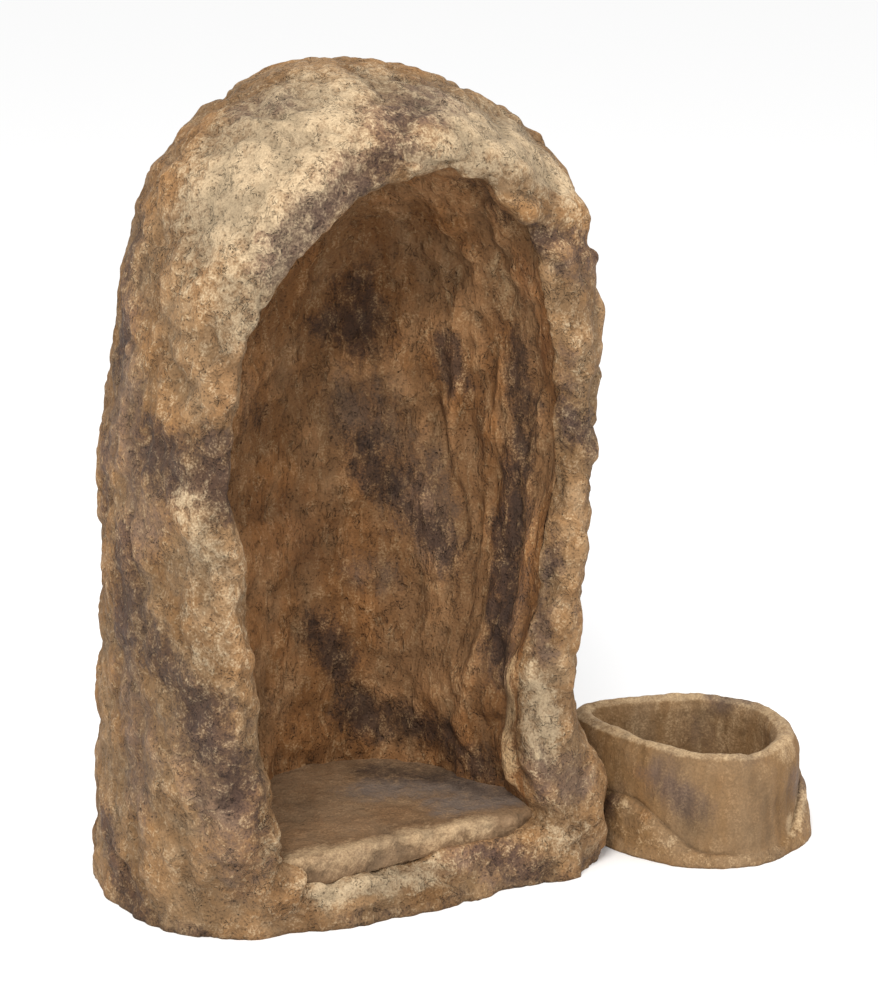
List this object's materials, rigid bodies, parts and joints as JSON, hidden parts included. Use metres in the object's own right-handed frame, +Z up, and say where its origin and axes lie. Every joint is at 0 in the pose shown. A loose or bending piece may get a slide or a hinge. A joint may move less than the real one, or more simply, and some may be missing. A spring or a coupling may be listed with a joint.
{
  "type": "garden grotto with water basin",
  "caption": "Free-standing imitation rock grotto with a deep arched niche and flat niche floor, and a loose round water basin with an inlet channel beside its foot.",
  "frame": {"origin": "middle of the grotto's footprint, on the ground", "axes": "+Z up, the niche opens towards -Y, the basin stands on the +X side"},
  "size_m": [0.89, 0.4799, 0.9928],
  "materials": {
    "rock_front": "matte",
    "rock_rear": "matte",
    "cave_wall": "matte",
    "floor_stone": "matte",
    "laminate": "matte",
    "basin_stone": "matte",
    "basin_mortar": "matte"
  },
  "bodies": {
    "grotto": {"hood_front": "rock_front", "hood_rear": "rock_rear", "liner_left_foot": "cave_wall", "liner_right_foot": "cave_wall", "liner_left_waist": "cave_wall", "liner_right_waist": "cave_wall", "liner_left_shoulder": "cave_wall", "liner_right_shoulder": "cave_wall", "liner_left_crown": "cave_wall", "liner_right_crown": "cave_wall", "niche_floor": "floor_stone", "base_plate": "laminate"},
    "basin": {"basin_bowl": "basin_stone", "basin_skirt": "basin_mortar"}
  },
  "joints": [
    {"name": "basin_placing", "type": "slide", "parent": "grotto", "child": "basin", "axis": [1, 0, 0], "range_m": [0, 0.2]}
  ]
}
